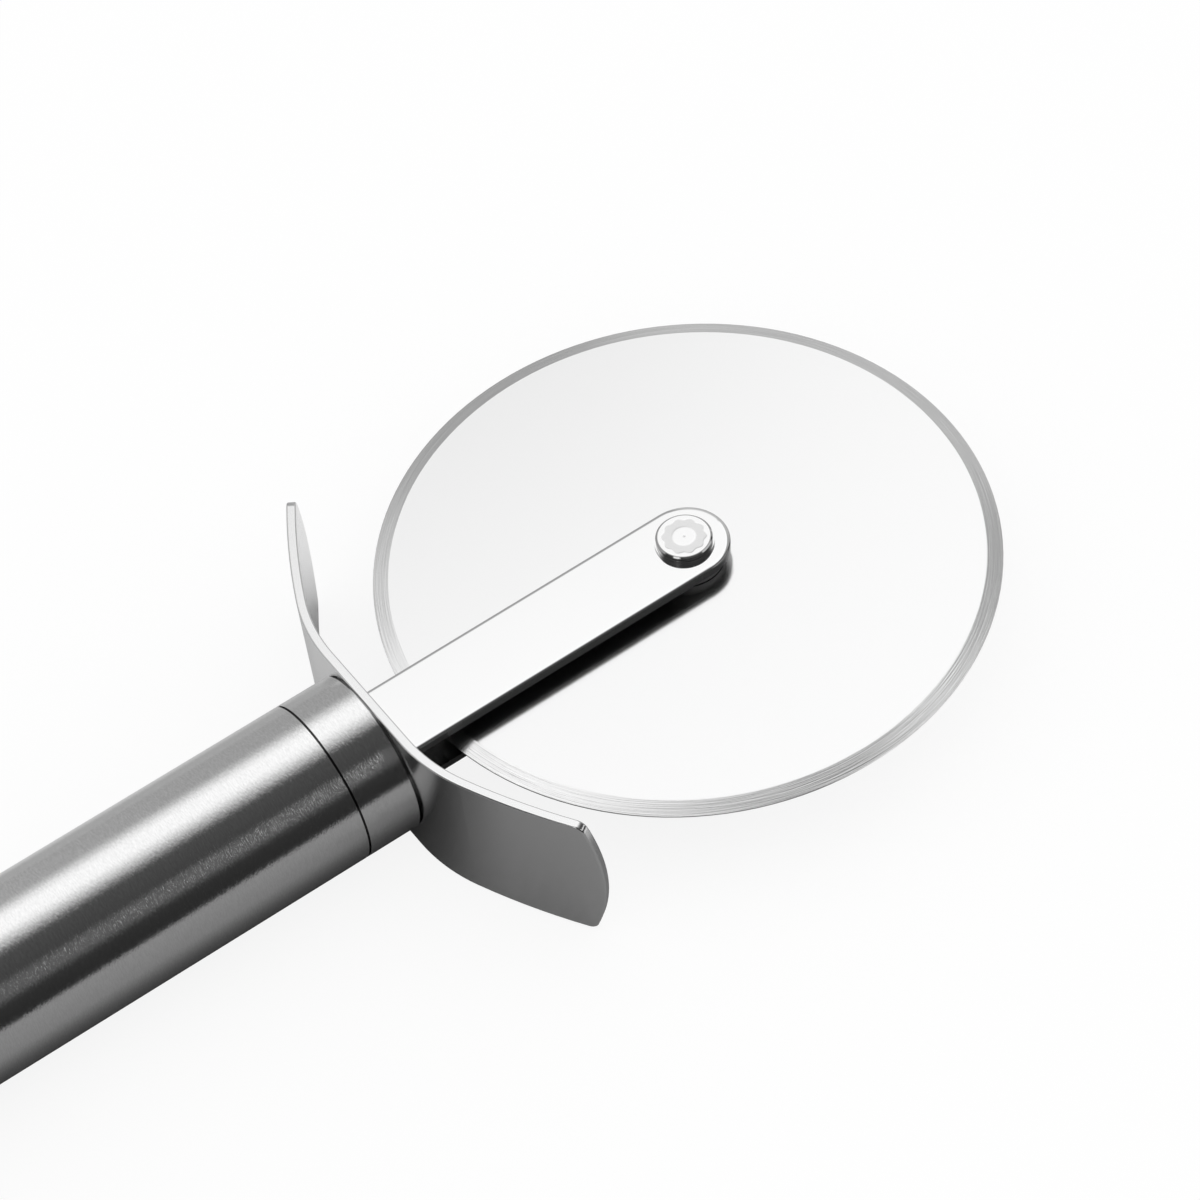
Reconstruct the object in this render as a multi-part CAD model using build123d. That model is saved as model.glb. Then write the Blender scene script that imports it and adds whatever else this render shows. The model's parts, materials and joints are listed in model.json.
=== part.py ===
from build123d import *
from math import cos, radians, sin
import os

# A pizza cutter: a ground steel disc that turns between the two arms of a fork,
# a swept finger guard behind it, and a sealed tubular handle with a hanging eye.
# Lengths are millimetres. The handle lies along X with the wheel at the +X end,
# and the wheel turns about Z. Pieces are drawn round the wheel's centre and set
# down at the end, with the underside of the handle at Z = 0.

# Cutting wheel
wheel_diameter = 75.0
blade_thickness = 1.25
bevel_width = 1.9
edge_flat = 0.2

# Wheel bearing: a bush pressed into the blade turns on a clamped sleeve
bush_diameter = 8.2
bush_standout = 0.08
sleeve_diameter = 6.0
running_clearance = 0.05
end_play = 0.06
spacer_diameter = 9.4
spacer_thickness = 1.41

# Axle rivet, closed over a thin washer on each arm
rivet_diameter = 4.0
rivet_clearance = 0.03
head_diameter = 6.8
head_height = 0.66
head_chamfer = 0.16
dimple_diameter = 0.5
dimple_depth = 0.05
rivet_washer_diameter = 7.2
rivet_washer_thickness = 0.38

# Fork: the outer edges of its arms are buffed over, further in across the face than down the side
arm_width = 10.7
arm_thickness = 1.2
arm_edge_reach = 0.55
arm_edge_drop = 0.3
nose_lead = 0.12
tang_length = 21.5
tang_clearance = 0.08
core_setback = 1.6
pin_diameter = 3.0
pin_count = 2
pin_spacing = 5.5
pin_recess = 0.4

# Finger guard, in plan: a flat middle, a bend and a long gentle sweep to each tip
rim_to_guard_gap = 6.25
guard_thickness = 1.15
guard_height = 19.6
guard_flat_width = 16.0
guard_bend_radius = 22.4
guard_bend_angle = 23.75
guard_sweep_radius = 94.0
guard_sweep_angle = 10.55
guard_tip_bulge = 2.0
guard_corner_round = 1.3
guard_edge_round = 0.2

# Handle
handle_diameter = 20.2
tube_wall = 1.0
tube_length = 88.0
ferrule_length = 7.0
ferrule_edge_round = 0.15
guard_seam_gap = 0.16
seam_gap = 0.28
seam_depth = 0.5
spigot_clearance = 0.03
front_spigot_length = 24.0
rear_spigot_length = 10.0
spigot_chamfer = 0.5
cap_length = 8.0
cap_round = 3.2
groove_width = 2.0
groove_depth = 1.2
groove_setback = 1.2

# Tie rod and hanging eye
rod_diameter = 4.0
rod_engagement = 6.0
rod_hole_clearance = 0.15
thread_relief = 0.5
eye_washer_diameter = 9.4
eye_washer_thickness = 0.8
collar_diameter = 8.4
collar_length = 5.5
eye_diameter = 14.0
eye_bore_diameter = 8.0
eye_thickness = 4.0
eye_edge_round = 0.6

# How far a cutting tool runs past the face that it cuts
overrun = 1.0

# Heights above the wheel's middle plane
bush_half = blade_thickness / 2 + bush_standout
sleeve_half = bush_half + end_play
arm_inner = sleeve_half + spacer_thickness
arm_outer = arm_inner + arm_thickness
washer_top = arm_outer + rivet_washer_thickness
head_top = washer_top + head_height

# Stations along the handle, from the wheel's centre back
guard_front_x = -(wheel_diameter / 2 + rim_to_guard_gap)
ferrule_front_x = guard_front_x - guard_thickness
ferrule_rear_x = ferrule_front_x - ferrule_length
tube_front_x = ferrule_rear_x - seam_gap
tube_rear_x = tube_front_x - tube_length
cap_front_x = tube_rear_x - seam_gap
cap_rear_x = cap_front_x - cap_length
collar_front_x = cap_rear_x - eye_washer_thickness
collar_rear_x = collar_front_x - collar_length
eye_x = collar_rear_x - eye_bore_diameter / 2
eye_rear_x = eye_x - eye_diameter / 2
tang_rear_x = ferrule_front_x - tang_length
front_spigot_end_x = tube_front_x - front_spigot_length
rear_spigot_end_x = tube_rear_x + rear_spigot_length
rod_front_x = front_spigot_end_x + rod_engagement
rod_rear_x = collar_rear_x + thread_relief

# Radii of the round pieces
handle_radius = handle_diameter / 2
tube_bore_radius = handle_radius - tube_wall
spigot_radius = tube_bore_radius - spigot_clearance
groove_radius = spigot_radius - groove_depth

# How far the tang pins reach to each side of the handle's axis
pin_reach = spigot_radius - pin_recess


def turned(profile):
    """Spin an outline of (x, radius) points about the handle's axis."""
    return revolve(make_face(Polyline(*profile, close=True)), Axis.X)


def spun(profile):
    """Spin an outline of (radius, z) points about the wheel's axis."""
    outline = [(radius, 0, z) for radius, z in profile]
    return revolve(make_face(Polyline(*outline, close=True)), Axis.Z)


def ring(diameter, bore, low, high):
    """A flat ring about the wheel's axis, between two heights."""
    return spun([(bore / 2, low), (diameter / 2, low), (diameter / 2, high), (bore / 2, high)])


def rod_along_x(diameter, low_x, high_x):
    """A plain round bar on the handle's axis, between two stations."""
    return turned([(low_x, 0), (low_x, diameter / 2), (high_x, diameter / 2), (high_x, 0)])


def block(x_low, x_high, width, height):
    """A block centred on the handle's axis, between two stations."""
    return Pos((x_low + x_high) / 2, 0, 0) * Box(x_high - x_low, width, height)


def over_and_under(solid):
    """The piece above the wheel's plane and its twin below it."""
    return solid, mirror(solid, about=Plane.XY)


def cutting_wheel():
    """The disc, ground from both faces to a narrow edge, bored for its bush."""
    rim = wheel_diameter / 2
    face = rim - bevel_width
    bore = bush_diameter / 2
    half = blade_thickness / 2
    return spun([
        (bore, -half),
        (face, -half),
        (rim, -edge_flat / 2),
        (rim, edge_flat / 2),
        (face, half),
        (bore, half),
    ])


def hub_bush():
    """The bearing bush in the blade, a running fit on the sleeve."""
    return ring(bush_diameter, sleeve_diameter + 2 * running_clearance, -bush_half, bush_half)


def axle_sleeve():
    """The sleeve that the rivet clamps, longer than the bush by the end play."""
    return ring(sleeve_diameter, rivet_diameter + 2 * rivet_clearance, -sleeve_half, sleeve_half)


def spacer_washers():
    """A washer each side of the blade, between the sleeve and an arm."""
    bore = rivet_diameter + 2 * rivet_clearance
    return over_and_under(ring(spacer_diameter, bore, sleeve_half, arm_inner))


def rivet_washers():
    """The thin washer under each head of the rivet."""
    bore = rivet_diameter + 2 * rivet_clearance
    return over_and_under(ring(rivet_washer_diameter, bore, arm_outer, washer_top))


def axle_rivet():
    """The rivet with both its heads, chamfered, with a small dimple in each."""
    shank = rivet_diameter / 2
    head = head_diameter / 2
    dimple = dimple_diameter / 2
    top_half = [
        (0, 0),
        (shank, 0),
        (shank, washer_top),
        (head, washer_top),
        (head, head_top - head_chamfer),
        (head - head_chamfer, head_top),
        (dimple, head_top),
        (0, head_top - dimple_depth),
    ]
    upper = spun(top_half)
    return upper + mirror(upper, about=Plane.XY)


def pin_stations():
    """Where the tang pins cross the handle's axis, spaced from the tang's end."""
    first = tang_rear_x + pin_spacing / 2
    return [first + pin_spacing * number for number in range(pin_count)]


def tang_pins(reach):
    """The round pins that cross the spigot, the two arms and the core between them."""
    return [Pos(x, 0, 0) * Cylinder(pin_diameter / 2, 2 * reach) for x in pin_stations()]


def arm_half_section():
    """Half of an arm's cross-section, from its middle to the side at -Y, with the buffed edge."""
    half = arm_width / 2
    reach = min(arm_edge_reach, half / 4)
    drop = min(arm_edge_drop, arm_thickness / 3)
    buffed = EllipticalCenterArc((half - reach, arm_outer - drop), reach, drop, arc_size=90)
    sides = Polyline(buffed @ 1, (0, arm_outer), (0, arm_inner), (half, arm_inner), buffed @ 0)
    across = Plane(origin=(0, 0, 0), x_dir=(0, -1, 0), z_dir=(-1, 0, 0))
    return across * make_face([buffed, *sides.edges()])


def fork_arms():
    """Two flat strips, each with a round nose just ahead of the axle and a pinned tang."""
    section = arm_half_section()
    nose = revolve(section, Axis.Z, 180)
    half_strip = extrude(section, nose_lead - tang_rear_x, dir=(-1, 0, 0))
    strip = half_strip + mirror(half_strip, about=Plane.XZ)
    arm = Pos(nose_lead, 0, 0) * (nose + strip)
    arm -= Cylinder(rivet_diameter / 2 + rivet_clearance, 2 * (arm_outer + overrun))
    for pin in tang_pins(pin_reach):
        arm -= pin
    return over_and_under(arm)


def fork_core():
    """The block that keeps the two tangs apart inside the ferrule."""
    core = block(tang_rear_x, ferrule_front_x - core_setback, arm_width, 2 * arm_inner)
    for pin in tang_pins(pin_reach):
        core -= pin
    return core


def guard_line(offset):
    """One side of the guard's plan, from the middle to the tip, set forward by offset."""
    start = (ferrule_front_x + offset, 0)
    corner = (ferrule_front_x + offset, guard_flat_width / 2)
    flat = Line(start, corner)
    bend = JernArc(corner, (0, 1), guard_bend_radius - offset, -guard_bend_angle)
    sweep = JernArc(bend @ 1, bend % 1, guard_sweep_radius - offset, -guard_sweep_angle)
    return flat, bend, sweep


def guard_tip_cutter():
    """What is outside the rounded, bulged end of one wing, square to the wing's face there."""
    end = guard_line(0)[-1]
    turn = radians(guard_bend_angle + guard_sweep_angle)
    along = (sin(turn), cos(turn), 0)
    forward = (cos(turn), -sin(turn), 0)
    half = guard_height / 2
    inner = -(guard_tip_bulge + guard_corner_round)
    bulge = ThreePointArc((-guard_tip_bulge, half), (0, 0), (-guard_tip_bulge, -half))
    sides = Polyline((-guard_tip_bulge, -half), (inner, -half), (inner, half), (-guard_tip_bulge, half))
    kept = make_face([bulge, *sides.edges()])
    kept = fillet(kept.vertices().sort_by(Axis.X)[-2:], guard_corner_round)
    reach = overrun - inner
    around = Pos(inner + reach / 2, 0) * Rectangle(reach, guard_height + 2 * overrun)
    place = Plane(origin=end @ 1, x_dir=along, z_dir=forward)
    return extrude(place * (around - kept), guard_thickness + overrun, both=True)


def is_rim(edge):
    """Whether an edge runs along the guard's outline, not through it or up a bend."""
    if edge.geom_type != GeomType.LINE:
        return True
    run = edge.position_at(1) - edge.position_at(0)
    return edge.length > 2 * guard_thickness and abs(run.Z) < guard_thickness


def finger_guard():
    """The swept plate behind the wheel, with a slot that the fork passes through."""
    back = guard_line(0)
    front = guard_line(guard_thickness)
    ends = [Line(back[-1] @ 1, front[-1] @ 1), Line(back[0] @ 0, front[0] @ 0)]
    plan = make_face([*back, *front, *ends])
    wing = extrude(plan, guard_height / 2, both=True) - guard_tip_cutter()
    plate = wing + mirror(wing, about=Plane.XZ)
    rims = plate.edges().filter_by(is_rim)
    plate = fillet(rims, min(guard_edge_round, guard_thickness / 3))
    slot_width = arm_width + 2 * tang_clearance
    slot_height = 2 * (arm_outer + tang_clearance)
    return plate - block(ferrule_front_x - overrun, guard_front_x + overrun, slot_width, slot_height)


def spigot_outline(shoulder_x, direction, length):
    """The stepped outline of a plug from its shoulder to its end, with a ring groove."""
    groove_start = shoulder_x + direction * (seam_gap + groove_setback)
    groove_end = groove_start + direction * groove_width
    end = shoulder_x + direction * (seam_gap + length)
    step = shoulder_x + direction * seam_gap
    return [
        (shoulder_x, handle_radius),
        (shoulder_x, handle_radius - seam_depth),
        (step, handle_radius - seam_depth),
        (step, spigot_radius),
        (groove_start, spigot_radius),
        (groove_start, groove_radius),
        (groove_end, groove_radius),
        (groove_end, spigot_radius),
        (end - direction * spigot_chamfer, spigot_radius),
        (end, spigot_radius - spigot_chamfer),
        (end, 0),
    ]


def front_ferrule():
    """The turned plug at the front: a visible collar and a long spigot with the tang slot."""
    rim_x = ferrule_front_x - guard_seam_gap
    plug = turned([
        (ferrule_front_x, 0),
        (ferrule_front_x, handle_radius - seam_depth),
        (rim_x, handle_radius - seam_depth),
        (rim_x, handle_radius - ferrule_edge_round),
        (rim_x - ferrule_edge_round, handle_radius),
        *spigot_outline(ferrule_rear_x, -1, front_spigot_length),
    ])
    slot_width = arm_width + 2 * tang_clearance
    slot_height = 2 * (arm_outer + tang_clearance)
    plug -= block(tang_rear_x - tang_clearance, ferrule_front_x + overrun, slot_width, slot_height)
    plug -= rod_along_x(rod_diameter, front_spigot_end_x - overrun, rod_front_x + thread_relief)
    for pin in tang_pins(handle_radius - pin_recess):
        plug -= pin
    return plug


def seal_ring(shoulder_x, direction):
    """The rubber ring in a plug's groove, touching the groove's floor and the tube."""
    section = (tube_bore_radius - groove_radius) / 2
    middle = shoulder_x + direction * (seam_gap + groove_setback + groove_width / 2)
    return revolve(Pos(middle, groove_radius + section, 0) * Circle(section), Axis.X)


def handle_tube():
    """The plain tube between the two plugs."""
    return turned([
        (tube_rear_x, tube_bore_radius),
        (tube_rear_x, handle_radius),
        (tube_front_x, handle_radius),
        (tube_front_x, tube_bore_radius),
    ])


def end_cap():
    """The plug at the rear, rounded at its end and bored for the tie rod."""
    cap = turned([
        (cap_rear_x, 0),
        (cap_rear_x, handle_radius),
        *spigot_outline(cap_front_x, 1, rear_spigot_length),
    ])
    rear_rim = cap.edges().filter_by(GeomType.CIRCLE).sort_by(Axis.X)[0]
    cap = fillet(rear_rim, cap_round)
    bore = rod_diameter + 2 * rod_hole_clearance
    return cap - rod_along_x(bore, cap_rear_x - overrun, rear_spigot_end_x + seam_gap + overrun)


def tie_rod():
    """The rod that pulls the cap and the ferrule together through the tube."""
    return rod_along_x(rod_diameter, rod_rear_x, rod_front_x)


def eye_washer():
    """The washer between the hanging eye's collar and the cap."""
    disc = rod_along_x(eye_washer_diameter, collar_front_x, cap_rear_x)
    bore = rod_diameter + 2 * rod_hole_clearance
    return disc - rod_along_x(bore, collar_front_x - overrun, cap_rear_x + overrun)


def hanging_eye():
    """The flat eye on a round collar, screwed on the tie rod's end."""
    disc = Pos(eye_x, 0, 0) * Cylinder(eye_diameter / 2, eye_thickness)
    disc -= Pos(eye_x, 0, 0) * Cylinder(eye_bore_diameter / 2, eye_thickness + 2 * overrun)
    disc = fillet(disc.edges().filter_by(GeomType.CIRCLE), min(eye_edge_round, eye_thickness / 3))
    wall_middle_x = eye_x + (eye_diameter + eye_bore_diameter) / 4
    collar = rod_along_x(collar_diameter, wall_middle_x, collar_front_x)
    collar = fillet(collar.edges().filter_by(GeomType.CIRCLE).sort_by(Axis.X)[-1], eye_edge_round)
    eye = disc + collar
    return eye - rod_along_x(rod_diameter, rod_rear_x, collar_front_x + overrun)


def all_pieces():
    """Every piece of the cutter by its node's name, drawn round the wheel's centre."""
    spacer_upper, spacer_lower = spacer_washers()
    washer_upper, washer_lower = rivet_washers()
    arm_upper, arm_lower = fork_arms()
    return {
        "cutting_wheel": cutting_wheel(),
        "hub_bush": hub_bush(),
        "axle_sleeve": axle_sleeve(),
        "axle_rivet": axle_rivet(),
        "rivet_washer_upper": washer_upper,
        "rivet_washer_lower": washer_lower,
        "spacer_washer_upper": spacer_upper,
        "spacer_washer_lower": spacer_lower,
        "fork_arm_upper": arm_upper,
        "fork_arm_lower": arm_lower,
        "fork_core": fork_core(),
        "tang_pins": Part() + tang_pins(pin_reach),
        "finger_guard": finger_guard(),
        "front_ferrule": front_ferrule(),
        "front_seal_ring": seal_ring(ferrule_rear_x, -1),
        "handle_tube": handle_tube(),
        "rear_seal_ring": seal_ring(cap_front_x, 1),
        "end_cap": end_cap(),
        "tie_rod": tie_rod(),
        "eye_washer": eye_washer(),
        "hanging_eye": hanging_eye(),
    }


# The origin ends up on the table, under the middle of the cutter's length
length = wheel_diameter / 2 - eye_rear_x
middle_x = wheel_diameter / 2 - length / 2
lowest = max(handle_diameter, guard_height) / 2
on_the_table = Pos(-middle_x, 0, lowest)

os.makedirs("parts", exist_ok=True)
for name, piece in all_pieces().items():
    export_step(on_the_table * piece, f"parts/{name}.step")
print("wheel centre", -middle_x, lowest, "eye centre", eye_x - middle_x, "length", length)
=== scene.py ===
# %% [markdown]
# # A pizza cutter in polished, ground and brushed steel
#
# The cutter lies on its side on a pale floor: a thin disc that spins between the two
# arms of a fork, a swept finger guard behind it, and a round handle with a hanging eye.
# Every size comes from the packed model, which is loaded first and never changed. What
# this file adds is the look: the finish of each piece and the light around it.

import json
import math

import bpy
from mathutils import Matrix, Vector


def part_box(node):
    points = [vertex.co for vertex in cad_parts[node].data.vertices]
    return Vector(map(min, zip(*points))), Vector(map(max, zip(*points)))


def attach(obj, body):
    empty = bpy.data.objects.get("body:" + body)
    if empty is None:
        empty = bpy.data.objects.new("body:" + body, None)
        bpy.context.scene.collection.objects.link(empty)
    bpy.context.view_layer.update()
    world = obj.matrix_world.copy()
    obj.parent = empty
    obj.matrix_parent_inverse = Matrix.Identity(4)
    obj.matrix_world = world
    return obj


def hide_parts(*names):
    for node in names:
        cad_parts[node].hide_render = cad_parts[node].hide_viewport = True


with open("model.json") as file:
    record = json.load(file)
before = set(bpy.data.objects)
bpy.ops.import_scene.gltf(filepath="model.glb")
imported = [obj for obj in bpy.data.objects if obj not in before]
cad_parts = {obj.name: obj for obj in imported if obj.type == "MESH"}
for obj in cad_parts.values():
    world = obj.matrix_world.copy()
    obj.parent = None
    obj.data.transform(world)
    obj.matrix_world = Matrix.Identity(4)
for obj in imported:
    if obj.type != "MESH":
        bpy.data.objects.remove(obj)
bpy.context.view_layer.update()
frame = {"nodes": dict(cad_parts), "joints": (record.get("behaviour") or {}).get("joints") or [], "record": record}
nodes = frame["nodes"]

MM = 0.001
wheel_centre = Vector(frame["joints"][0]["pos_m"])
tube_low, tube_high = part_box("handle_tube")
handle_radius = (tube_high.y - tube_low.y) / 2
handle_axis_z = wheel_centre.z

# %% [markdown]
# ## The camera
#
# The picture looks down at the wheel from the handle's side, from about half a metre
# away and with a long lens. A camera is placed by where it looks, how far off it stands
# and how it is tilted: `azimuth` goes round the object, `elevation` is the height above
# the horizon, and `roll` is the tilt of the frame.

# %% Camera
camera_azimuth = math.radians(-29.062)
camera_elevation = math.radians(51.320)
camera_roll = math.radians(-7.912)
camera_distance = 499.35 * MM
camera_aim = wheel_centre + Vector((-11.573, 1.489, 0)) * MM
lens_length, sensor_width = 126.76, 36


def camera_back(azimuth, elevation):
    """The direction from what the camera looks at towards the camera."""
    level = math.cos(elevation)
    return Vector((math.sin(azimuth) * level, -math.cos(azimuth) * level, math.sin(elevation)))


def place_camera():
    """A camera with a long lens, at the picture's viewing angle."""
    data = bpy.data.cameras.new("camera")
    data.lens = lens_length
    data.sensor_width = sensor_width
    data.clip_start = 0.01
    camera = bpy.data.objects.new("camera", data)
    back = camera_back(camera_azimuth, camera_elevation)
    turn = back.to_track_quat("Z", "Y") @ Matrix.Rotation(camera_roll, 4, "Z").to_quaternion()
    camera.matrix_world = Matrix.LocRotScale(camera_aim + back * camera_distance, turn, None)
    bpy.context.scene.collection.objects.link(camera)
    bpy.context.scene.camera = camera
    return camera


camera = place_camera()
bpy.context.scene.view_settings.view_transform = "Standard"
print("camera at", [round(value, 4) for value in camera.location])

# %% [markdown]
# ## Writing a finish as sums
#
# A procedural finish is a graph of small nodes. Wiring it link by link is slow to read,
# so a short class lets it be written as arithmetic. `Value` wraps a socket, and
# `height * 2 - 1` on it adds the Math nodes. Python's reflected operators make `1 - mask`
# work as well, where the number comes first.

# %% Value
class Value:
    """A socket that can be added, multiplied and turned like a number."""

    def __init__(self, socket):
        self.socket = socket

    def sum_of(self, operation, first, second=0.0, clamp=False):
        """One Math node on two values or numbers."""
        node = self.socket.id_data.nodes.new("ShaderNodeMath")
        node.operation = operation
        node.use_clamp = clamp
        for place, item in zip(node.inputs, (first, second)):
            if isinstance(item, Value):
                self.socket.id_data.links.new(item.socket, place)
            else:
                place.default_value = item
        return Value(node.outputs[0])

    def __add__(self, other):
        return self.sum_of("ADD", self, other)

    def __radd__(self, other):
        return self.sum_of("ADD", other, self)

    def __sub__(self, other):
        return self.sum_of("SUBTRACT", self, other)

    def __rsub__(self, other):
        return self.sum_of("SUBTRACT", other, self)

    def __mul__(self, other):
        return self.sum_of("MULTIPLY", self, other)

    def __rmul__(self, other):
        return self.sum_of("MULTIPLY", other, self)

    def __truediv__(self, other):
        return self.sum_of("DIVIDE", self, other)

    def __pow__(self, other):
        return self.sum_of("POWER", self, other)

    def hypotenuse(self, other):
        return (self * self + other * other) ** 0.5

    def angle_with(self, other):
        return self.sum_of("ARCTAN2", self, other)

    def clamped(self):
        return self.sum_of("ADD", self, 0.0, clamp=True)

    def size(self):
        return self.sum_of("ABSOLUTE", self)

    def sign(self):
        return self.sum_of("SIGN", self)

    def cosine(self):
        return self.sum_of("COSINE", self)


print("operators", [name for name in vars(Value) if name.startswith("__r")])

# %% [markdown]
# ## A finish and its nodes
#
# `Finish` holds the nodes of one material. Its `node` method makes any kind of node: the
# settings come first, because some of them change which sockets there are, and then the
# sockets by name. The rest are the moves that every finish here needs: a soft step from
# 0 to 1, the place on the object, smooth grain, and two ways to mix.

# %% Finish nodes
class Finish:
    """The nodes of one material, or of the world."""

    def __init__(self, tree):
        self.tree = tree
        tree.nodes.clear()

    def node(self, kind, settings=None, **inputs):
        """One node: its settings are set first, then its inputs, by name with _ for a space."""
        made = self.tree.nodes.new(kind)
        for name, value in (settings or {}).items():
            setattr(made, name, value)
        for name, value in inputs.items():
            socket = next(s for s in made.inputs if s.enabled and s.name == name.replace("_", " "))
            if isinstance(value, Value):
                self.tree.links.new(value.socket, socket)
            else:
                socket.default_value = value
        return made

    def value(self, kind, output, settings=None, **inputs):
        """One node's output, as a Value."""
        return Value(self.node(kind, settings, **inputs).outputs[output])

    def step(self, value, low, high):
        """0 below low, 1 above high, and smooth between."""
        return self.value("ShaderNodeMapRange", "Result", {"interpolation_type": "SMOOTHSTEP"},
                          Value=value, From_Min=low, From_Max=high)

    def place(self, centre=(0, 0, 0)):
        """x, y and z on the object, measured from a centre, in metres."""
        point = self.value("ShaderNodeTexCoord", "Object")
        moved = self.value("ShaderNodeMapping", "Vector", {"vector_type": "POINT"},
                           Vector=point, Location=[-c for c in centre])
        parts = self.node("ShaderNodeSeparateXYZ", Vector=moved)
        return [Value(output) for output in parts.outputs]

    def grain(self, x, y, z, detail=2.0, roughness=0.5):
        """Smooth noise from 0 to 1 at a point given by three values."""
        point = self.value("ShaderNodeCombineXYZ", "Vector", X=x, Y=y, Z=z)
        return self.value("ShaderNodeTexNoise", 0, {"noise_dimensions": "3D"},
                          Vector=point, Scale=1.0, Detail=detail, Roughness=roughness)

    def mix(self, amount, low, high):
        """Blends two colours by a value from 0 to 1."""
        node = self.node("ShaderNodeMix", {"data_type": "RGBA"}, Factor=amount, A=low, B=high)
        return Value(next(s for s in node.outputs if s.enabled))

    def blend(self, amount, first, second):
        """Blends two shaders by a value from 0 to 1."""
        node = self.node("ShaderNodeMixShader", Fac=amount)
        self.tree.links.new(first.socket, node.inputs[1])
        self.tree.links.new(second.socket, node.inputs[2])
        return Value(node.outputs[0])


def grey(level):
    """A neutral grey."""
    return (level, level, level, 1)


print("moves", [name for name in vars(Finish) if not name.startswith("_")])

# %% [markdown]
# ## The floor
#
# A product picture wants a floor that all but disappears, yet still holds the soft
# shadow that says where the object rests. One wide matt plane does it. A little of its
# white is paint, which takes the shadow, and most is a glow that the camera sees, so that
# the shadow stays light. The glow is also given to glossy and transmission rays, so that
# whatever mirrors this floor mirrors it as white as it looks.

# %% Floor
room_half = 3.0
glow_share = 0.87
mottle_per_metre = 9


def sheet(name, size, place, material):
    """A flat staged square."""
    mesh = bpy.data.meshes.new(name)
    half = size / 2
    corners = [(-half, -half, 0), (half, -half, 0), (half, half, 0), (-half, half, 0)]
    mesh.from_pydata(corners, [], [(0, 1, 2, 3)])
    mesh.materials.append(material)
    mesh.transform(place)
    made = bpy.data.objects.new(name, mesh)
    bpy.context.scene.collection.objects.link(made)
    return made


def new_finish(name):
    """An empty material and the finish that fills it."""
    material = bpy.data.materials.new(name)
    material.use_nodes = True
    return material, Finish(material.node_tree)


def floor_finish():
    """Matt white that holds a light shadow."""
    material, paint = new_finish("pale_floor")
    x, y, z = paint.place()
    mottle = paint.grain(x * mottle_per_metre, y * mottle_per_metre, z, detail=3)
    matt = paint.value("ShaderNodeBsdfDiffuse", 0, Color=paint.mix(mottle, grey(0.95), grey(0.97)))
    glow = paint.value("ShaderNodeEmission", 0, Color=grey(1.0), Strength=1.0)
    ray = paint.node("ShaderNodeLightPath").outputs
    seen = Value(ray["Is Camera Ray"]) + Value(ray["Is Glossy Ray"]) + Value(ray["Is Transmission Ray"])
    lit = paint.blend(seen.clamped() * glow_share, matt, glow)
    paint.node("ShaderNodeOutputMaterial", Surface=lit)
    return material


floor = sheet("floor", 4 * room_half, Matrix.Identity(4), floor_finish())
print("floor m", round(floor.dimensions.x, 1))

# %% [markdown]
# ## The light
#
# Lamps would leave hard shadows and hot spots. A world of one even white is the softest
# light there is, and it lights the floor and every matt surface alike.

# %% White tent
tent_level = 1.0


def tent():
    """Even white light from all round."""
    world = bpy.data.worlds.new("white_tent")
    world.use_nodes = True
    light = Finish(world.node_tree)
    glow = light.value("ShaderNodeBackground", 0, Color=grey(1.0), Strength=tent_level)
    light.node("ShaderNodeOutputWorld", Surface=glow)
    bpy.context.scene.world = world
    return world


print("world", tent().name)

# %% [markdown]
# ## The studio that the steel mirrors
#
# Polished steel has no colour of its own: it shows the room. So the room is what is
# designed here. Metal alone sees a dark studio round it,
# as a photographer would build one from cards: a bright panel above and
# behind, which whitens the disc and draws the long highlight on the handle, a dimmer
# wall below it, and darkness on the camera's side, which gives the steel its dark edges.
# Each card is a window in two readings of a direction: `turn`, the angle from straight
# up towards the camera's side, and `ahead`, how far it points along the handle.

# %% Studio cards
panel_level = 1.1
wall_level = 0.37
end_level = 0.56
side_level = 0.5
overhead_level = 0.75
dark_level = 0.026
haze_level = 0.05
strip_level = 0.07
spark_level = 0.9
lamp_level = 1.4
lamp_behind, lamp_turn = 0.74, 28
horizon = -95


def card_finish():
    """How bright the cards are in each direction."""
    material, light = new_finish("studio_cards")
    x, y, z = light.place(wheel_centre)
    ahead = x / x.hypotenuse(y.hypotenuse(z))
    turn = (0 - y).angle_with(z) * math.degrees(1)

    def window(value, low, high, soft_low, soft_high):
        """1 between two readings, with a soft edge at each."""
        after = light.step(value, low - soft_low, low)
        return after * (1 - light.step(value, high, high + soft_high))

    wall = window(turn, horizon, -42, 1, 12) * window(ahead, -0.15, 0.6, 0.3, 0.3)
    ends = window(turn, horizon, -38, 1, 12) * (1 - window(ahead, 0.08, 0.41, 0.1, 0.06))
    side = window(ahead, 0.6, 1.0, 0.12, 1.0) * window(turn, horizon, -5, 1, 20)
    side = side * (1 - light.step(turn, -45, -20) * 0.3)
    panel = window(turn, -31, -19, 27, 32) * window(ahead, -0.25, 0.52, 0.15, 0.08)
    overhead = window(turn, -31, -2, 27, 12) * window(ahead, 0.4, 0.52, 0.07, 0.06)
    strip = window(turn, 48, 58, 12, 11)
    spark = window(turn, 46, 56, 8, 8) * window(ahead, 0.46, 0.9, 0.06, 0.1)
    aside = (ahead + lamp_behind).hypotenuse((turn - lamp_turn) / 90)
    lamp = 1 - light.step(aside, 0.1, 0.18)
    level = dark_level + (1 - light.step(turn, 0, 90)) * haze_level + strip * strip_level
    cards = ((wall, wall_level), (ends, end_level), (side, side_level),
             (overhead, overhead_level), (panel, panel_level),
             (spark, spark_level), (lamp, lamp_level))
    for card, brightness in cards:
        level = level + card * (brightness - level)
    glow = light.value("ShaderNodeEmission", 0, Color=grey(1.0), Strength=level)
    light.node("ShaderNodeOutputMaterial", Surface=glow)
    return material


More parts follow.
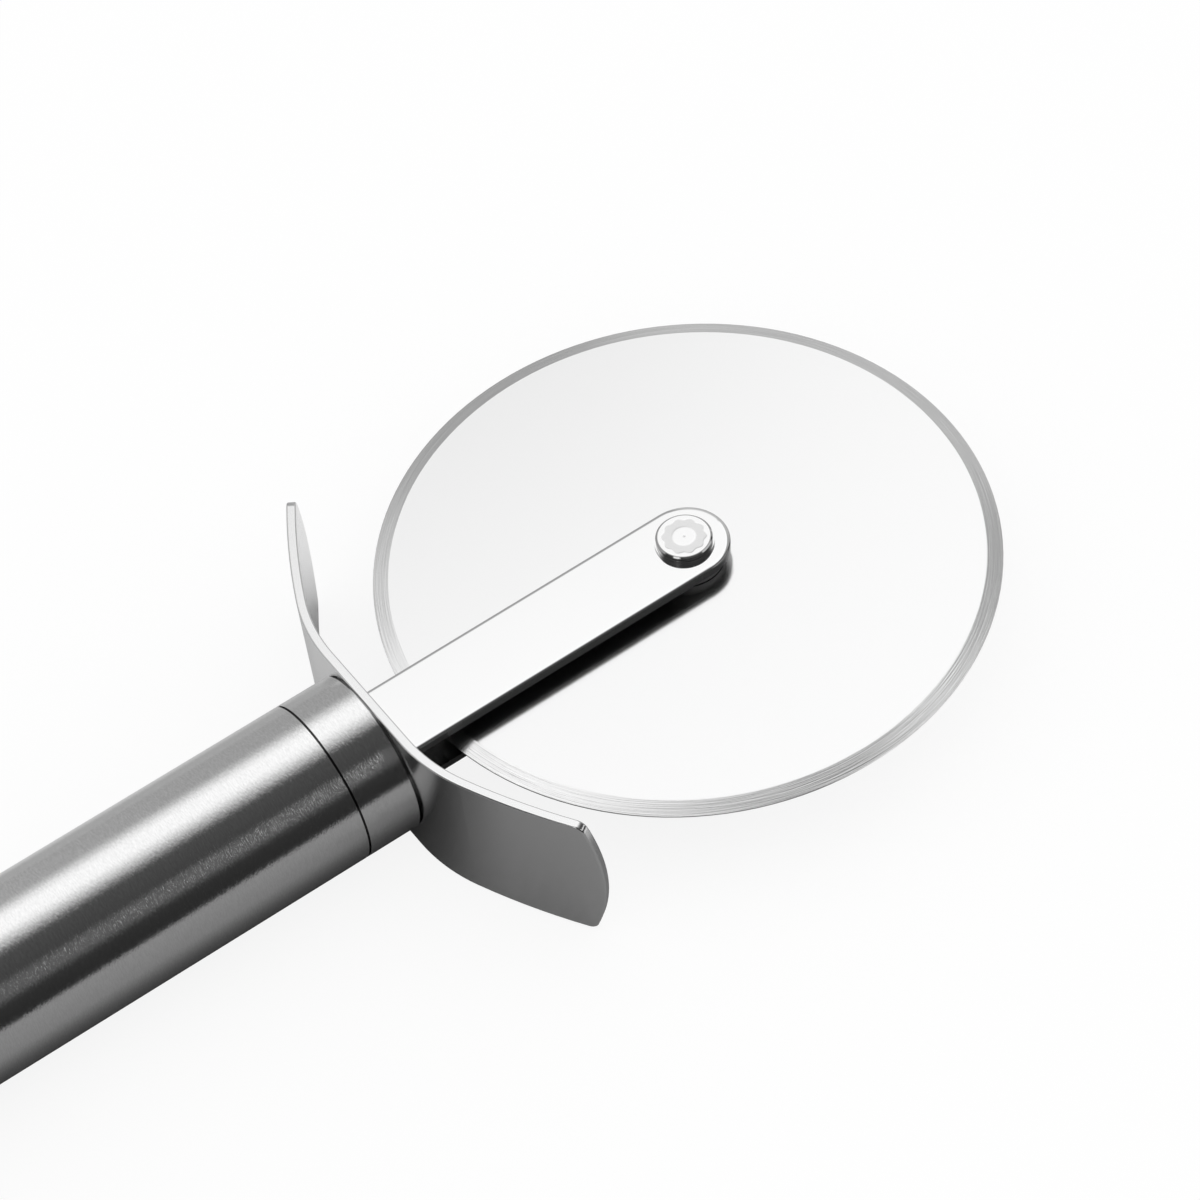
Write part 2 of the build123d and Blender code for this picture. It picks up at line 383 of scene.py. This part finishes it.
print("card levels", panel_level, overhead_level, wall_level, dark_level)

# %% [markdown]
# ## The box that carries the cards
#
# The cards are painted on a box round the cutter, open at the floor. It is hidden from the
# camera, from matt surfaces and from shadows, so the white tent still lights the floor
# while the steel sees a dark room.

# %% Card box
def only_in_metal(made):
    """Makes a staged piece show in reflections alone."""
    made.visible_camera = False
    made.visible_diffuse = False
    made.visible_transmission = False
    made.visible_volume_scatter = False
    made.visible_shadow = False


def card_box():
    """A box of cards round the cutter, open at the floor."""
    mesh = bpy.data.meshes.new("card_box")
    h = room_half
    corners = [(x, y, z) for z in (0, h) for y in (-h, h) for x in (-h, h)]
    walls = [(0, 1, 5, 4), (1, 3, 7, 5), (3, 2, 6, 7), (2, 0, 4, 6)]
    ceiling = (4, 5, 7, 6)
    mesh.from_pydata(corners, [], walls + [ceiling])
    mesh.materials.append(card_finish())
    made = bpy.data.objects.new("card_box", mesh)
    bpy.context.scene.collection.objects.link(made)
    only_in_metal(made)
    return made


print("card box faces", len(card_box().data.polygons))

# %% [markdown]
# ## The cloth under the cutter
#
# The underside of the handle and the guard's wings mirror what the cutter lies on, and a
# pure white floor would wash them out. So the steel, and nothing else, sees a grey cloth
# with light and shade painted on it: pale behind the cutter, painted shade on the camera's
# side, a painted shadow close under the handle and painted dark a long way off, and painted
# light under the wheel and beside the guard.

# %% Table cloth
cloth_height = 0.1 * MM
weave_per_metre = 900


def cloth_finish():
    """A grey matt cloth, shaded by the cutter, with painted shade on the camera's side, a painted shadow under the
    handle and painted light in two places.
    """
    material, paint = new_finish("grey_cloth")
    x, y, z = paint.place()
    weave = paint.grain(x * weave_per_metre, y * weave_per_metre, z, detail=1)
    # Pale behind the cutter, and painted shade on the camera's side.
    behind = paint.step(y, 0.0, 0.02)
    # Painted shadow close under the handle.
    painted_contact_shadow = paint.step(y, -0.022, -0.009) * 0.6
    # Painted dark a long way off on the camera's side.
    far = 1 - paint.step(y, -0.3, -0.12)
    front = paint.mix(painted_contact_shadow, paint.mix(weave, grey(0.25), grey(0.29)), grey(0.02))
    front = paint.mix(far, front, grey(0.03))
    # Painted light under the wheel.
    painted_light_under_wheel = paint.step(x, 0.055, 0.07) * paint.step(y, -0.1, -0.07)
    front = paint.mix(painted_light_under_wheel, front, grey(0.75))
    back = paint.mix(paint.step(y, 0.015, 0.06), paint.mix(weave, grey(0.7), grey(0.74)), grey(0.42))
    # Painted light beside the guard.
    painted_light_beside_guard = paint.step(x, 0.028, 0.036) * (1 - paint.step(y, 0.045, 0.06))
    back = paint.mix(painted_light_beside_guard, back, grey(0.92))
    colour = paint.mix(behind, front, back)
    matt = paint.value("ShaderNodeBsdfDiffuse", 0, Color=colour)
    paint.node("ShaderNodeOutputMaterial", Surface=matt)
    return material


cloth_place = Matrix.Translation((0, 0, cloth_height))
cloth = sheet("grey_cloth", 2 * room_half, cloth_place, cloth_finish())
only_in_metal(cloth)
print("cloth m", round(cloth.dimensions.x, 1))

# %% [markdown]
# ## One recipe for every steel
#
# All the steels are a metal with a grey base colour, and fine lines or grains that change
# its colour and roughness a little and tilt its face through a Bump node. They differ in
# how the lines run and how deep they are, which is what tells a polished, a ground, a
# brushed and a blasted surface apart.

# %% Steel recipe
finishes = {}


def steel(paint, colour, roughness, height, depth):
    """Metal with a colour, a roughness and a height that roughens its face."""
    bump = paint.value("ShaderNodeBump", 0, Strength=1.0, Distance=depth, Height=height)
    metal = paint.value("ShaderNodeBsdfPrincipled", 0, Base_Color=colour, Metallic=1.0,
                        Roughness=roughness, Normal=bump)
    paint.node("ShaderNodeOutputMaterial", Surface=metal)


def keep(slot, material):
    """Files a finish under its slot, for the pieces to take."""
    finishes[slot] = material
    print(slot, len(material.node_tree.nodes), "nodes")


# %% [markdown]
# ## The blade
#
# The disc is lapped to a mirror, and its rim is ground to an edge, which leaves lines
# round the bevel. The model's faces carry no finish of their own, so one material tells
# the bevel from the face by its radius. The noise is stretched round the disc: the radius
# goes in by small steps and the place by large ones.

# %% Blade
def blade_steel():
    """Mirror faces with faint lapping rings, and a ground bevel with coarse ones."""
    material, paint = new_finish("mirror_and_ground_blade")
    x, y, z = paint.place(wheel_centre)
    radius = x.hypotenuse(y)
    ground = paint.step(radius, 35.55 * MM, 35.65 * MM)
    fine = paint.grain(radius / (0.05 * MM), x / (6 * MM), y / (6 * MM), detail=2)
    coarse = paint.grain(radius / (0.12 * MM), x / (9 * MM), y / (9 * MM), detail=3)
    height = fine * (1 - ground) * 0.012 + coarse * ground
    roughness = 0.16 + ground * coarse * 0.1
    streak = paint.step(coarse, 0.3, 0.7)
    colour = paint.mix(ground, grey(0.9), paint.mix(streak, grey(0.86), grey(0.98)))
    steel(paint, colour, roughness, height, 0.02 * MM)
    return material


keep("blade_steel", blade_steel())

# %% [markdown]
# ## The fork and the washers under the rivet
#
# The arms are punched from strip and polished on their flats, while their sides keep the
# dull grey of the press. The flats are told from the sides by their heights above the
# wheel's middle plane, since each lies at one known height.

# %% Fork
def polished_steel():
    """Mirror faces with faint polishing lines, and sides left dull from the press."""
    material, paint = new_finish("mirror_fork")
    x, y, z = paint.place(wheel_centre)
    height = z.size()
    face = 0
    for name, fade in (("fork_arm_upper", 0.1), ("rivet_washer_upper", 0.02)):
        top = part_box(name)[1].z - wheel_centre.z
        above = paint.step(height, top - 2 * fade * MM, top - fade * MM)
        below = 1 - paint.step(height, top + 0.01 * MM, top + 0.02 * MM)
        face = above * below + face
    lines = paint.grain(x / (8 * MM), y / (0.08 * MM), z / (0.08 * MM), detail=2)
    grit = paint.grain(x / (0.1 * MM), y / (0.1 * MM), z / (0.1 * MM), detail=2)
    polished = paint.mix(lines, grey(0.9), grey(0.92))
    colour = paint.mix(face, paint.mix(grit, grey(0.32), grey(0.48)), polished)
    steel(paint, colour, 0.14 - face * 0.08 + lines * 0.03, lines, 0.0003 * MM)
    return material


keep("polished_steel", polished_steel())

# %% [markdown]
# ## The handle
#
# The tube, the ferrule and the cap are brushed while they turn, so the lines run round
# them. Two widths of line keep the brushing from looking like a pattern, and a slow cloud
# changes its roughness from place to place. The grooves on both sides of the ferrule see
# little light, so shade is painted into the colour just under the outer radius there, with
# painted light on the top of the groove by the guard.

# %% Handle
def brushed_steel():
    """Steel brushed round the handle."""
    material, paint = new_finish("brushed_handle")
    x, y, z = paint.place((0, 0, handle_axis_z))
    fine = paint.grain(x / (0.08 * MM), y / (0.5 * MM), z / (0.5 * MM), detail=2)
    coarse = paint.grain(x / (0.15 * MM), y / (1.4 * MM), z / (1.4 * MM), detail=2)
    lines = fine * 0.6 + coarse * 0.4
    cloud = paint.grain(x / (2 * MM), y / (2 * MM), z / (2 * MM), detail=3)
    colour = paint.mix(paint.step(lines, 0.35, 0.65), grey(0.8), grey(0.9))
    seam_start = tube_high.x - 2 * MM
    # Painted shade inside the grooves on both sides of the ferrule.
    inside = 1 - paint.step(y.hypotenuse(z), handle_radius - 0.16 * MM, handle_radius - 0.04 * MM)
    painted_groove_shade = inside * paint.step(x, seam_start, seam_start + 1 * MM)
    guard_seam = paint.step(x, tube_high.x + 2 * MM, tube_high.x + 3 * MM)
    # Painted light on the top of the groove by the guard, lighter than the rest of the painted shade.
    lit = paint.step(z, -2 * MM, 6 * MM) * guard_seam
    colour = paint.mix(painted_groove_shade, colour, paint.mix(lit, grey(0.12), grey(0.38)))
    steel(paint, colour, cloud * 0.04 + lines * 0.08 + 0.05, lines, 0.03 * MM)
    return material


keep("brushed_steel", brushed_steel())

# %% [markdown]
# ## The guard and the eye
#
# Both are blasted with fine grit. It leaves a grain with no direction, so the noise has
# the same size all ways.

# %% Satin steel
def satin_steel():
    """Steel with a fine blasted grain."""
    material, paint = new_finish("satin_guard")
    x, y, z = paint.place()
    grit = paint.grain(x / (0.12 * MM), y / (0.12 * MM), z / (0.12 * MM), detail=2)
    steel(paint, paint.mix(grit, grey(0.8), grey(0.92)), grit * 0.1 + 0.12, grit, 0.005 * MM)
    return material


keep("satin_steel", satin_steel())

# %% [markdown]
# ## Turned steel inside
#
# The sleeve, the core, the pins, the tie rod and the eye's washer stay as they come off
# the lathe: greyer and rougher, with lines across the handle's direction.

# %% Turned steel
def plain_steel():
    """Steel as it comes off a lathe."""
    material, paint = new_finish("turned_steel")
    x, y, z = paint.place()
    lines = paint.grain(x / (0.15 * MM), y / (2 * MM), z / (2 * MM), detail=2)
    steel(paint, paint.mix(lines, grey(0.5), grey(0.6)), lines * 0.2 + 0.3, lines, 0.01 * MM)
    return material


keep("plain_steel", plain_steel())

# %% [markdown]
# ## The bearing bush
#
# The bush is pressed from bronze powder and sintered, which leaves fine pores. The noise
# stands for them: it darkens the colour and roughens the face together.

# %% Bronze
def bearing_bronze():
    """Sintered bronze, a little darker in its pores."""
    material, paint = new_finish("sintered_bronze")
    x, y, z = paint.place()
    pores = paint.grain(x / (0.1 * MM), y / (0.1 * MM), z / (0.1 * MM), detail=3)
    colour = paint.mix(pores, (0.45, 0.29, 0.13, 1), (0.72, 0.5, 0.27, 1))
    steel(paint, colour, pores * 0.2 + 0.35, pores, 0.01 * MM)
    return material


keep("bearing_bronze", bearing_bronze())

# %% [markdown]
# ## Plastic and rubber
#
# The spacer washers are plain acetal and the seal rings plain rubber. Both are dark and
# dull with a fine grain, so one function makes both, from two greys, the size of the
# grain and a roughness.

# %% Plastic and rubber
def dull(name, dark, light, size, roughness):
    """Rubber or plastic with a fine grain."""
    material, paint = new_finish(name)
    x, y, z = paint.place()
    grit = paint.grain(x / size, y / size, z / size, detail=2)
    bump = paint.value("ShaderNodeBump", 0, Strength=1.0, Distance=0.01 * MM, Height=grit)
    body = paint.value("ShaderNodeBsdfPrincipled", 0, Base_Color=paint.mix(grit, grey(dark), grey(light)),
                       Roughness=grit * 0.2 + roughness, Normal=bump)
    paint.node("ShaderNodeOutputMaterial", Surface=body)
    return material


keep("washer_plastic", dull("acetal", 0.06, 0.09, 0.3 * MM, 0.4))
keep("seal_rubber", dull("seal_rubber", 0.02, 0.035, 0.2 * MM, 0.6))

# %% [markdown]
# ## Dressing the pieces
#
# The record names a material slot for each piece. The pieces stay where and as they are,
# and only get the finish of their slot.

# %% Dress the pieces
for part in frame["record"]["subparts"]:
    piece = nodes[part["node"]]
    piece.data.materials.clear()
    piece.data.materials.append(finishes[part["material_slot"]])

# %% [markdown]
# ## The rivet's own finish
#
# The flat is polished and the side is turned, with lines round it. A thin dark line is
# painted round the rim of the flat, a painted reflection of the dark studio. Where the press
# left its ring the flat is a little duller: how much each point was pressed comes as an
# attribute.

# %% Rivet finish
rivet_chamfer = 0.16 * MM


def rivet_steel():
    """A polished flat with a painted dark rim line, a turned side with a small chamfer, and a dull pressed ring.
    """
    material, paint = new_finish("rivet_head")
    x, y, z = paint.place(wheel_centre)
    height = z.size()
    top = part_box("axle_rivet")[1].z - wheel_centre.z
    flat = paint.step(height, top - 0.03 * MM, top - 0.02 * MM)
    side = 1 - paint.step(height, top - 0.17 * MM, top - 0.15 * MM)
    pressed = paint.value("ShaderNodeAttribute", "Fac", {"attribute_name": "pressed"})
    radius = x.hypotenuse(y)
    flat_radius = (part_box("axle_rivet")[1].x - wheel_centre.x) - rivet_chamfer
    # Painted reflection: a thin dark line round the rim of the flat.
    line = paint.step(radius, flat_radius - 0.14 * MM, flat_radius - 0.08 * MM)
    rings = paint.grain(x / (3 * MM), y / (3 * MM), z / (0.18 * MM), detail=2)
    lines = paint.grain(x / (0.5 * MM), y / (0.5 * MM), z / (0.5 * MM), detail=2)
    polished = paint.mix(pressed, paint.mix(lines, grey(0.9), grey(0.92)), grey(0.8))
    polished = paint.mix(line, polished, grey(0.36))
    edge = paint.mix(side, grey(0.52), paint.mix(paint.step(rings, 0.35, 0.65), grey(0.2), grey(0.62)))
    steel(paint, paint.mix(flat, edge, polished), 0.07 + side * 0.07 + pressed * 0.2, lines, 0.0003 * MM)
    return material


print("rivet chamfer mm", rivet_chamfer / MM)

# %% [markdown]
# ## A shape as a tree of nodes
#
# Geometry Nodes shape a mesh by a rule. `Shape` is a `Finish` for geometry: it keeps the
# same arithmetic, and its sizes are named inputs, so they can be seen and changed. The
# tree ends in plain mesh with one material.

# %% Shape
class Shape(Finish):
    """A Geometry Nodes tree with its sizes as named inputs."""

    def __init__(self, name, **sizes):
        group = bpy.data.node_groups.new(name, "GeometryNodeTree")
        group.interface.new_socket("Geometry", in_out="INPUT", socket_type="NodeSocketGeometry")
        group.interface.new_socket("Geometry", in_out="OUTPUT", socket_type="NodeSocketGeometry")
        for label in sizes:
            group.interface.new_socket(label, in_out="INPUT", socket_type="NodeSocketFloat")
        super().__init__(group)
        self.sizes = sizes
        self.start = self.node("NodeGroupInput")

    def size(self, name):
        """One of the tree's named inputs."""
        return Value(self.start.outputs[name])

    def end(self, geometry, material):
        """Closes the tree with a plain mesh in one material."""
        plain = self.value("GeometryNodeRealizeInstances", 0, Geometry=geometry)
        dressed = self.value("GeometryNodeSetMaterial", 0, Geometry=plain, Material=material)
        self.node("NodeGroupOutput", Geometry=dressed)

    def applied_to(self, mesh, name):
        """A new object with the tree worked out on a mesh."""
        draft = bpy.data.objects.new(name + "_draft", mesh)
        bpy.context.scene.collection.objects.link(draft)
        modifier = draft.modifiers.new(name, "NODES")
        modifier.node_group = self.tree
        for item in self.tree.interface.items_tree:
            if item.in_out == "INPUT" and item.name in self.sizes:
                modifier[item.identifier] = self.sizes[item.name]
        graph = bpy.context.evaluated_depsgraph_get()
        baked = bpy.data.meshes.new_from_object(draft.evaluated_get(graph))
        bpy.data.objects.remove(draft)
        made = bpy.data.objects.new(name, baked)
        bpy.context.scene.collection.objects.link(made)
        return made


print("shape moves", [name for name in vars(Shape) if not name.startswith("_")])

# %% [markdown]
# ## The rivet's outline
#
# A rivet is round, so its head is spun from the same outline as the model's, with many
# more points across the flat, so that a ring can be pressed in. The outline is worked out
# for one half and mirrored for the other.

# %% Rivet outline
def spun(name, outline, sides):
    """A mesh spun about the wheel's axle from an outline of (radius, height) pairs."""
    points = []
    for radius, height in outline:
        for side in range(sides):
            turn = 2 * math.pi * side / sides
            points.append(wheel_centre + Vector((radius * math.cos(turn), radius * math.sin(turn), height)))
    faces = []
    for row in range(len(outline) - 1):
        for side in range(sides):
            first, second = row * sides + side, row * sides + (side + 1) % sides
            faces.append((first, second, second + sides, first + sides))
    faces.append(tuple(reversed(range(sides))))
    faces.append(tuple(range(len(points) - sides, len(points))))
    mesh = bpy.data.meshes.new(name)
    mesh.from_pydata(points, [], faces)
    return mesh


def rivet_outline():
    """From the centre of the lower head, round the side, to the centre of the upper one."""
    rivet_low, rivet_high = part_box("axle_rivet")
    washer_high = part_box("rivet_washer_upper")[1].z - wheel_centre.z
    top = rivet_high.z - wheel_centre.z
    head = (rivet_high.x - rivet_low.x) / 2
    shank, steps = 2 * MM, 36
    flat = head - rivet_chamfer
    half = [(shank, 0.0), (shank, washer_high), (head, washer_high), (head, top - rivet_chamfer)]
    half += [(flat * (steps - number) / steps, top) for number in range(steps)]
    return [(radius, -height) for radius, height in reversed(half[1:])] + half


rivet_sides = 144
rivet_blank = spun("rivet_outline", rivet_outline(), rivet_sides)
print("rivet blank points", len(rivet_blank.vertices))

# %% [markdown]
# ## The pressed ring
#
# A rivet is closed by a press. Its tool leaves a shallow ring in the flat of the head,
# with a lobed outer edge, and a small centre mark. A short Geometry Nodes tree presses
# them in: each point of the flat moves by the depth where the rule says so. The tree also
# stores how much each point was pressed, which the rivet's finish reads.

# %% Pressed ring
def pressed_ring():
    """Presses a shallow lobed ring and a centre mark in both flats."""
    shape = Shape("pressed_ring", Inner=1.42 * MM, Outer=2.56 * MM, Lobe=0.13 * MM, Lobes=10.0,
                  Depth=0.02 * MM, Mark=0.25 * MM)
    place = shape.node("GeometryNodeInputPosition").outputs[0]
    parts = shape.node("ShaderNodeSeparateXYZ", Vector=Value(place)).outputs
    x, y = Value(parts[0]) - wheel_centre.x, Value(parts[1]) - wheel_centre.y
    height = Value(parts[2]) - wheel_centre.z
    radius = x.hypotenuse(y)
    wave = (y.angle_with(x) * shape.size("Lobes")).cosine()
    edge = shape.size("Outer") + wave * shape.size("Lobe")
    inside = shape.step(radius - shape.size("Inner"), -0.15 * MM, 0.15 * MM)
    outside = shape.step(edge - radius, -0.1 * MM, 0.1 * MM)
    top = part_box("axle_rivet")[1].z - wheel_centre.z
    flat = shape.step(height.size(), top - 0.1 * MM, top)
    mark = 1 - shape.step(radius - shape.size("Mark"), -0.2 * MM, 0)
    pressed = (inside * outside + mark) * flat
    down = pressed * shape.size("Depth") * (0 - height.sign())
    move = shape.value("ShaderNodeCombineXYZ", 0, Z=down)
    stored = shape.value("GeometryNodeStoreNamedAttribute", 0, {"data_type": "FLOAT", "domain": "POINT"},
                         Geometry=Value(shape.start.outputs[0]), Name="pressed", Value=pressed)
    moved = shape.value("GeometryNodeSetPosition", 0, Geometry=stored, Offset=move)
    shape.end(moved, rivet_steel())
    return shape


rivet = pressed_ring().applied_to(rivet_blank, "pressed_rivet")
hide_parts("axle_rivet")
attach(rivet, "handle_frame")
print("rivet faces", len(rivet.data.polygons))

# %% [markdown]
# ## The end
#
